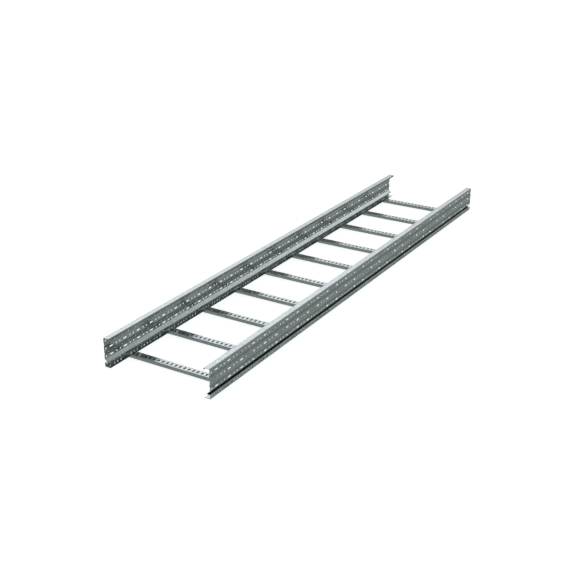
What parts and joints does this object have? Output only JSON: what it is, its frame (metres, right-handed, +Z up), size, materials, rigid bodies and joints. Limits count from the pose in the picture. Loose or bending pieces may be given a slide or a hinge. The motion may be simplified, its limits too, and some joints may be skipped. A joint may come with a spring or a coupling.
{
  "type": "cable ladder section",
  "caption": "Straight cable ladder section: two perforated, roll-formed side rails with beads and a deep groove, joined by slotted rungs that lie on their bottom flanges.",
  "frame": {"origin": "middle of the footprint, on the level that the bottom flanges rest on", "axes": "+X across the ladder to the right rail, +Y along the ladder to its far end, +Z up"},
  "size_m": [0.6, 3, 0.15],
  "materials": {
    "rail_steel": "bright galvanised sheet",
    "rung_steel": "bright galvanised sheet"
  },
  "bodies": {
    "root": {"side_rail_left": "rail_steel", "side_rail_right": "rail_steel", "rung_01": "rung_steel", "rung_02": "rung_steel", "rung_03": "rung_steel", "rung_04": "rung_steel", "rung_05": "rung_steel", "rung_06": "rung_steel", "rung_07": "rung_steel", "rung_08": "rung_steel", "rung_09": "rung_steel", "rung_10": "rung_steel"}
  },
  "joints": []
}
